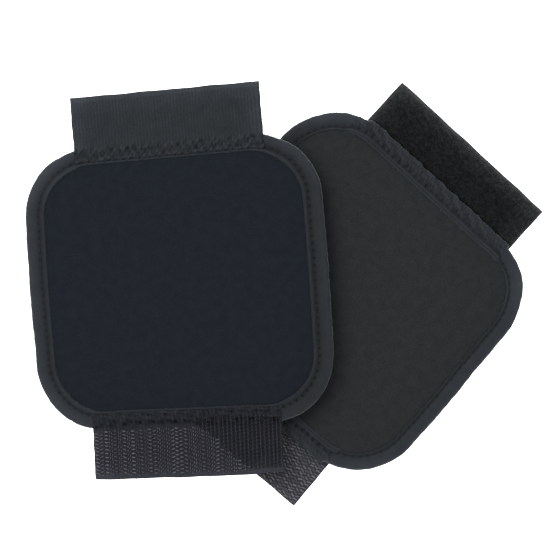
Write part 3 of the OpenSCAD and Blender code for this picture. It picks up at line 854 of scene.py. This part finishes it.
def tape_top(pad, tape, x, w):
    """Height of the tape's outer side, and its painted light and shade: level, dented along the zigzag, drawn
    down at its sewn edge and ends. The dents get painted shade, the puckers painted light and shade, and the
    tape a painted glow towards its outer edge and cut ends. The hook tape is darker along the margin, and
    has rows of painted shade in the gaps where its wires run across it."""
    base = TAPE_BASE[tape] + TAPE_T
    seed = pad.seed + (20 if tape == "loop" else 30)
    margin = ease(EDGE_Y - w, 0.4, 1.4)
    dent = zigzag_dent(x, w - (EDGE_Y - ZIGZAG_INSET), seed + 1) * margin
    pucker = 0.18 * wander(seed, (2.3, 3.1, 4.3, 5.9), x, w) * ease(EDGE_Y + 2 - w, 0, 4)
    edge = 0.5 * (1 - ease(w, TAPE_IN, TAPE_IN + 1.4))
    edge = edge + 0.4 * margin * ease(np.abs(x), TAPE_END - 1.5, TAPE_END)
    # Painted shade in the zigzag's dents, painted light and shade on the puckers
    dark = 0.75 * dent - 3.0 * pucker
    # Painted glow towards the outer edge and the cut ends
    outer, ends = tape_glow(x, w)
    if tape == "loop":
        dark = dark - 0.8 * (outer + ends) * (1 - margin)
        dark = dark - margin * (2.6 * pucker + 0.12 * ease(x, 25, 40))
    else:
        dark = dark - 0.5 * (outer + ends * (x < 0)) * (1 - margin)
        dark = dark + 0.08 * margin + 0.35 * bump(EDGE_Y - w, 1.4, 2.4)
        across = ease(x - UPRIGHT_LEAN * (w - HOOK_FIRST) - UPRIGHT_FROM[pad.side], -1.0, 1.5)
        inside = 1 - ease(w, FLAP_END - SELVEDGE_W, FLAP_END - 2)
        dark = dark - 0.12 * (1 - across) * (1 - margin) * inside
        across = across * inside
        # Painted shade in the gaps between the wires that run across the tape
        gaps = (1 + np.cos(TAU * ((TAPE_END - x) / COLUMN_UPRIGHT - 0.9))) / 2
        gaps = gaps * (0.25 + 0.75 * (1 + np.cos(TAU * (w + 0.22 * x) / hook_row(pad))) / 2)
        dark = dark + across * (1 - 0.6 * margin) * (1.1 * gaps - 0.05)
    depth = 0.6 if tape == "loop" else 0.5
    return base + pucker - depth * dent - edge + tape_wave(pad, tape, x, w), np.clip(dark, -1.2, 1)


def tape_base(pad, tape):
    """Woven tape: a thin sheet over the sewn margin and the flap, one grid for each side of it."""
    sign = TAPES[tape]
    x1 = np.linspace(-TAPE_END, TAPE_END, TAPE_NX)
    w1 = np.linspace(TAPE_IN, FLAP_END, TAPE_NY)
    x, w = np.meshgrid(x1, w1, indexing="ij")
    seed = pad.seed + (40 if tape == "loop" else 45)
    end = ease(np.abs(x), TAPE_END - 4, TAPE_END) * np.sign(x)
    first, last = pad.lay["ends"][tape]
    longer = np.where(x < 0, -first, last)
    x2 = x + (longer + 0.2 * wander(seed, (11, 7, 17), w, np.sign(x) * 30)) * np.abs(end)
    w2 = w + 0.18 * wander(seed + 1, (19, 33), x) * ease(w, FLAP_END - 4, FLAP_END)
    w2 = w2 + (0.8 - 0.2 * wander(seed + 2, (4.2, 6.5, 13), x)) * (1 - ease(w, TAPE_IN, TAPE_IN + 3))
    top, shade = tape_top(pad, tape, x, w)
    flap_low = TAPE_BASE[tape] + tape_wave(pad, tape, x, w)
    low = np.where(w < EDGE_Y - 0.2, np.minimum(BIND_TOP + 0.02, flap_low), flap_low)
    thin = 0.16 * (ease(w, FLAP_END - 0.8, FLAP_END) + ease(np.abs(x), TAPE_END - 0.6, TAPE_END))
    upper = np.stack([x2, sign * w2, top - thin], -1)
    lower = np.stack([x2, sign * w2, low + thin * (w > EDGE_Y)], -1)
    points, faces = slab(upper, lower)
    made = pad.piece(f"{tape}_tape", points, faces, twice(x, w), [f"{tape}_ground", f"{tape}_under"],
                     "woven_tape", [f"{tape}_tape_margin", f"{tape}_tape_flap"], tape=tape,
                     shade=np.stack([shade, 0 * shade]))
    pad.fold(made, tape)


# The hook wire's radius, how far each kind of wire runs, the height of the low ones, and how far the two
# wires of a hook and the two tips of a broken one stand from its middle
HOOK_WIRE = 0.17
HOOK_SPAN, TIP_SPAN, STUB_SPAN, UPRIGHT_SPAN = 2.5, 1.1, 0.8, 1.4
LOW_H = 0.6
WIRE_ASIDE, TIP_ALONG, TIP_ASIDE = 0.13, 0.55, 0.25


def lattice(columns, rows):
    """Every column and row of a hook lattice, as two flat arrays."""
    return [a.ravel() for a in np.meshgrid(columns, rows, indexing="ij")]


def hooks(pad):
    """Hooks: columns of bent wires that rise from the tape, run slanting along it and turn down to a cut end.
    The slant changes sides from column to column, and each column has its own place along the rows, its own
    slant and its own painted glint, lighter or darker. In some columns the wires are broken up into short
    tips that stand up, painted lighter as glints. Cut wires end at the tape's end, painted lighter as glints.
    Towards one end of the upper tape the wires run across it in closer columns, lower, painted darker as
    shade, and go on over the sewn margin."""
    rng = np.random.default_rng(pad.seed + 90)
    pitch = hook_row(pad)
    rows = int((FLAP_END - HOOK_FIRST - SELVEDGE_W + 0.6) / pitch) + 1
    divide = UPRIGHT_FROM[pad.side]
    full = HOOK_H - HOOK_WIRE
    columns = int(TAPE_L / COLUMN)
    aside, phase = rng.normal(0, 0.15, columns), rng.normal(0, 0.13, columns)
    # Each column's painted glint: below 0 lighter, above 0 darker
    steep, column_glint = rng.uniform(0.08, 0.4, columns), rng.uniform(-0.65, 0.5, columns)
    column, row = lattice(np.arange(columns), np.arange(rows))
    x = -TAPE_END + (column + 0.6) * COLUMN
    keep = x < divide + 1 + UPRIGHT_LEAN * row * pitch + rng.normal(0, 1.2, len(x))
    column, row, x = column[keep], row[keep], x[keep] + aside[column[keep]]
    w = HOOK_FIRST + (row + 0.5 * (column % 2) + phase[column]) * pitch
    slant = np.where(column % 2 == 0, 1, -1) * steep[column]
    # Painted glints: each wire a little lighter or darker than its column
    painted_light = column_glint[column] + rng.uniform(-0.15, 0.15, len(x))
    broken = (rng.uniform(size=columns) < BROKEN_COLUMNS)[column]
    groups = []
    for wire in (-1, 1):
        groups.append((x[~broken], w[~broken] + WIRE_ASIDE * wire, slant[~broken], HOOK_SPAN, full,
                       painted_light[~broken]))
        # Broken tips painted lighter, as glints
        groups.append((x[broken] + TIP_ALONG * wire, w[broken] + TIP_ASIDE * wire, math.pi / 2, TIP_SPAN,
                       full, painted_light[broken] - 0.4))
    # Cut ends at the tape's end painted lighter, as glints
    groups.append((-TAPE_END, HOOK_FIRST + np.arange(rows) * pitch, 0.0, STUB_SPAN, LOW_H, -0.8))
    column, row = lattice(np.arange(int((TAPE_END - divide) / COLUMN_UPRIGHT)), np.arange(-3, rows))
    x = TAPE_END - (column + 0.4) * COLUMN_UPRIGHT
    keep = x > divide - 1 + UPRIGHT_LEAN * row * pitch + rng.normal(0, 1.0, len(x))
    x, row = x[keep], row[keep]
    # Wires that run across the tape painted darker, as wires that catch less light
    groups.append((x, HOOK_FIRST + row * pitch, math.pi / 2, UPRIGHT_SPAN, LOW_H,
                   rng.uniform(0.5, 0.9, len(x))))
    groups = [np.broadcast_arrays(*group) for group in groups]
    x, w, slant, span, tall, painted_light = (np.concatenate(part) for part in zip(*groups))
    n = len(x)
    x, w = x + rng.normal(0, 0.08, n), w + rng.normal(0, 0.05, n)
    slant, span = slant + rng.normal(0, 0.06, n), span * rng.uniform(0.8, 1.05, n)
    tall = tall * rng.uniform(0.86, 1.0, n)
    v = np.linspace(0, 0.84, 8)[None]
    run = (v - 0.45) * span[:, None]
    rise = tall[:, None] * (1 - np.abs(2 * v - 1) ** 2.6)
    px = x[:, None] + run * np.cos(slant)[:, None]
    pw = w[:, None] + run * np.sin(slant)[:, None]
    ground = tape_top(pad, "hook", px, pw)[0] - 0.12
    lines = np.stack([px, -pw, ground + rise], -1)
    across = np.stack([np.sin(slant), np.cos(slant), 0 * slant], -1)[:, None]
    points, faces, uv = tubes(lines, HOOK_WIRE, HOOK_WIRE, 5, across)
    made = pad.piece("hooks", points, faces, uv, ["hook_nylon"], "hook_nylon", ["hook_rows"], tape="hook",
                     shade=np.repeat(painted_light, len(points) // n))
    pad.fold(made, "hook")


# The first row of floats, and a float's half length, half width, half thickness and slant
FLOAT_FIRST = FLAP_Y + 1.7
FLOAT_HALF, FLOAT_W, FLOAT_T, FLOAT_SLANT = 1.3, 0.34, 0.2, 0.25


def hook_floats(pad):
    """Wire that shows on the back of the hook tape: flat slanting ribs, staggered like the hooks, each
    painted lighter or darker at random as glints.
    """
    rng = np.random.default_rng(pad.seed + 95)
    pitch = hook_row(pad)
    rows = int((FLAP_END - FLAP_Y - 2.2) / pitch) + 1
    column, row = lattice(np.arange(int(TAPE_L / COLUMN_BACK)), np.arange(rows))
    n = len(column)
    x = -TAPE_END + (column + 0.6) * COLUMN_BACK + rng.normal(0, 0.12, n)
    w = FLOAT_FIRST + (row + 0.5 * (column % 2)) * pitch + rng.normal(0, 0.12, n)
    slant = np.where(column % 2 == 0, 1, -1) * FLOAT_SLANT + rng.normal(0, 0.12, n)
    v = np.linspace(-1, 1, 7)[None]
    half = FLOAT_HALF * rng.uniform(0.75, 1.05, n)
    px = x[:, None] + v * (half * np.cos(slant))[:, None]
    pw = w[:, None] + v * (half * np.sin(slant))[:, None]
    level = HOOK_BASE + tape_wave(pad, "hook", px, pw) - 0.1 + 0.2 * v ** 2
    lines = np.stack([px, -pw, level], -1)
    points, faces, uv = tubes(lines, FLOAT_W * (1 - 0.5 * v ** 4), FLOAT_T)
    # Painted glints: each float a little lighter or darker at random
    painted_light = np.repeat(rng.uniform(-0.5, 0.7, n), len(points) // n)
    made = pad.piece("hook_floats", points, faces, uv, ["hook_back"], "hook_nylon", [], tape="hook",
                     shade=painted_light)
    pad.fold(made, "hook")


# Loops scattered on a tape, the width of the strip at the outer edge where they thin, where the pile
# starts, and the yarn's radius
LOOP_COUNT, PILE_EDGE, PILE_FROM, YARN_R = 3200, 2.2, FLAP_Y + 1.0, 0.1


def pile_glow(x, w):
    """Painted glow: how much lighter the pile is painted towards the tape's outer edge and its cut ends, near
    the white floor; towards the outer edge the pile also thins.
    """
    outer = 2.6 * np.clip((w - FLAP_END + 13) / 11, 0, 1.1) ** 2.2
    ends = 1.6 * np.clip((np.abs(x) - TAPE_END + 14.5) / 14.5, 0, 1) ** 1.6
    return outer + ends


def loop_pile(pad):
    """Loop pile: thousands of small open loops of yarn that stand on the tape at all angles, each painted
    lighter or darker at random, as loops in light and in shade, and lighter towards the edge and ends as a
    glow.
    """
    rng = np.random.default_rng(pad.seed + 60)
    x = rng.uniform(-TAPE_END + 0.5, TAPE_END - 0.5, LOOP_COUNT)
    w = rng.uniform(PILE_FROM + 0.3, FLAP_END - 1.2, LOOP_COUNT)
    thick = rng.uniform(size=LOOP_COUNT) > 0.75 * ease(w, FLAP_END - PILE_EDGE - 1, FLAP_END - 1.2)
    x, w = x[thick], w[thick]
    n = len(x)
    heading, size = rng.uniform(0, TAU, n), rng.uniform(0.45, 0.85, n)
    lean, tall = rng.normal(0, 0.35, n), rng.uniform(0.75, 1.0, n) * (LOOP_BASE - LOOP_TIP - 0.1)
    v = np.linspace(-0.25, 1.25, 6)[None] * math.pi
    out, up = np.cos(v) * size[:, None], (0.45 + 0.5 * np.sin(v)) * tall[:, None]
    px = x[:, None] + out * np.cos(heading)[:, None] - lean[:, None] * up * np.sin(heading)[:, None]
    pw = w[:, None] + out * np.sin(heading)[:, None] + lean[:, None] * up * np.cos(heading)[:, None]
    pz = LOOP_BASE + tape_wave(pad, "loop", px, pw) - up
    across = np.stack([-np.sin(heading), np.cos(heading), 0 * heading], -1)[:, None]
    points, faces, uv = tubes(np.stack([px, pw, pz], -1), YARN_R, YARN_R, 3, across)
    # Painted light and shade: some loops lit and some shaded, all lighter towards the edges as a painted glow
    lit = rng.uniform(size=n)
    painted_light = 0.3 - 0.5 * lit - pile_glow(x, w) * (0.4 + 1.2 * lit)
    made = pad.piece("loops", points, faces, uv, ["loop_pile"], "loop_pile", ["loop_pile"], tape="loop",
                     shade=np.repeat(painted_light, len(points) // n))
    pad.fold(made, "loop")


def loop_mat(pad):
    """Short nap between the loops: a lumpy sheet on the loop side of the tape, painted lighter towards the
    tape's outer edge and cut ends as a glow.
    """
    x, w = np.meshgrid(np.linspace(-TAPE_END + 0.3, TAPE_END - 0.3, 170),
                       np.linspace(PILE_FROM, FLAP_END - PILE_EDGE + 0.4, 40), indexing="ij")
    outer = FLAP_END - PILE_EDGE
    rim = ease(w, PILE_FROM, PILE_FROM + 0.8) * (1 - ease(w, outer - 0.4, outer + 0.4))
    rim = np.minimum(ease(TAPE_END - 0.3 - np.abs(x), 0, 0.8), rim)
    lumps = 0.5 + 0.28 * wander(pad.seed + 61, (2.1, 2.9, 3.7, 1.6), x, w)
    base = LOOP_BASE + tape_wave(pad, "loop", x, w) + 0.04
    points, faces = slab(np.stack([x, w, base], -1), np.stack([x, w, base - 0.05 - rim * lumps], -1))
    # The nap painted lighter towards the outer edge and cut ends, a painted glow
    made = pad.piece("loop_nap", points, faces, twice(x, w), ["loop_pile"], "loop_pile", [], tape="loop",
                     shade=-np.tile(pile_glow(x, w) * (0.5 + lumps), (2, 1)))
    pad.fold(made, "loop")


# Legs that lock each end of a zigzag, the run that they start in, how far before the end the last lock
# starts, and half the thread's width
LOCK_LEGS, LOCK_RUN, LOCK_L, ZIGZAG_THREAD_W = 14, 4.4, 5, 0.22


def zigzag_seam(pad, tape):
    """Zigzag seam on both faces: one thread for each leg of the zigzag, sunk at its ends, and a crowd of
    short legs where the seam is locked at each end."""
    rng = np.random.default_rng(pad.seed + (100 if tape == "loop" else 110))
    sign = TAPES[tape]
    low, high = SEAM_RUN[tape]
    half = ZIGZAG_PITCH / 2
    k = np.arange(math.ceil(low / half), math.floor(high / half))
    ends = [np.stack([k * half, (k + 1) * half], 1)]
    for at in (low, high - LOCK_L):
        start = at + np.sort(rng.uniform(0, LOCK_RUN, LOCK_LEGS))
        ends.append(np.stack([start, start + rng.uniform(0.3, 0.9, LOCK_LEGS)], 1))
    main = len(k)
    x_ends = np.concatenate(ends)
    w_ends = zigzag_y(x_ends)
    flip = np.where(np.arange(len(x_ends) - main) % 2 == 0, 1, -1)
    w_ends[main:] = np.stack([-flip, flip], 1) * ZIGZAG_W / 2 * rng.uniform(0.7, 1.0, (len(flip), 2))
    v = np.linspace(0, 1, 6)
    x = x_ends[:, :1] + v[None] * (x_ends[:, 1:] - x_ends[:, :1])
    w = EDGE_Y - ZIGZAG_INSET + w_ends[:, :1] + v[None] * (w_ends[:, 1:] - w_ends[:, :1])
    dive = 0.3 * np.abs(2 * v - 1) ** 6
    on_tape = ease(TAPE_END - np.abs(x), -0.3, 0.3)
    front = on_tape * tape_top(pad, tape, x, w)[0] + (1 - on_tape) * (BIND_TOP + 0.1)
    lines = [np.stack([x, sign * w, front + 0.06 - dive], -1),
             np.stack([x, sign * w, MID_Z - RIM_BIND + 0.2 + dive + 0 * x], -1)]
    points, faces, uv = tubes(np.concatenate(lines), ZIGZAG_THREAD_W, THREAD_R)
    pad.ride(pad.piece(f"{tape}_seam", points, faces, uv, ["seam_thread"], "thread",
                       [f"{tape}_tape_seam"], tape=tape))


for side in ("upper", "lower"):
    one = Pad(side)
    covers_and_foam(one)
    edge_binding(one)
    binding_stitch(one)
    for tape in TAPES:
        tape_base(one, tape)
        zigzag_seam(one, tape)
    hooks(one)
    hook_floats(one)
    loop_mat(one)
    loop_pile(one)


# Floor, light and camera

# The picture's side and scale in pixels, where the pair's origin lies in it, the heights of the camera and of
# the plane that has that scale, in metres, and the film's width
PHOTO_PX, PX_PER_MM = 547, 1.867
ORIGIN_PX = (283.6, 291.5)
CAMERA_Z, LOOK_Z, FILM_W = 1.25, 0.008, 36
FLOOR_HALF = 3.0

scene = bpy.context.scene
scene.view_settings.view_transform = "Standard"


def floor():
    """White paper under the pads, a flat square that gives off light so that it stays white."""
    mesh = bpy.data.meshes.new("floor")
    far = FLOOR_HALF
    mesh.from_pydata([(-far, -far, 0), (far, -far, 0), (far, far, 0), (-far, far, 0)], [], [(0, 1, 2, 3)])
    made = bpy.data.objects.new("floor", mesh)
    scene.collection.objects.link(made)
    paper = bpy.data.materials.new("white_paper")
    paper.use_nodes = True
    shader = paper.node_tree.nodes["Principled BSDF"]
    shader.inputs["Base Color"].default_value = (0.88, 0.88, 0.88, 1)
    shader.inputs["Roughness"].default_value = 0.9
    shader.inputs["Specular IOR Level"].default_value = 0.1
    shader.inputs["Emission Color"].default_value = (1, 1, 1, 1)
    shader.inputs["Emission Strength"].default_value = 2.2
    mesh.materials.append(paper)


def softbox(name, at, size, watts):
    """A square light that faces the middle of the pair."""
    lamp = bpy.data.lights.new(name, "AREA")
    lamp.size, lamp.energy = size, watts
    made = bpy.data.objects.new(name, lamp)
    made.location = at
    made.rotation_euler = (-made.location).to_track_quat("-Z", "Y").to_euler()
    scene.collection.objects.link(made)


floor()
softbox("key_light", (-0.5, 0.4, 1.1), 0.9, 14.5)
softbox("right_light", (0.75, -0.75, 0.45), 0.6, 3.5)
world = bpy.data.worlds.new("studio")
world.use_nodes = True
world.node_tree.nodes["Background"].inputs["Color"].default_value = (1, 1, 1, 1)
world.node_tree.nodes["Background"].inputs["Strength"].default_value = 0.7
scene.world = world

lens = bpy.data.cameras.new("camera")
lens.sensor_width = FILM_W
lens.lens = FILM_W * (CAMERA_Z - LOOK_Z) / (PHOTO_PX / PX_PER_MM * MM)
camera = bpy.data.objects.new("camera", lens)
offset = [(p - PHOTO_PX / 2) / PX_PER_MM * MM for p in ORIGIN_PX]
camera.location = (-offset[0], offset[1], CAMERA_Z)
scene.collection.objects.link(camera)
scene.camera = camera
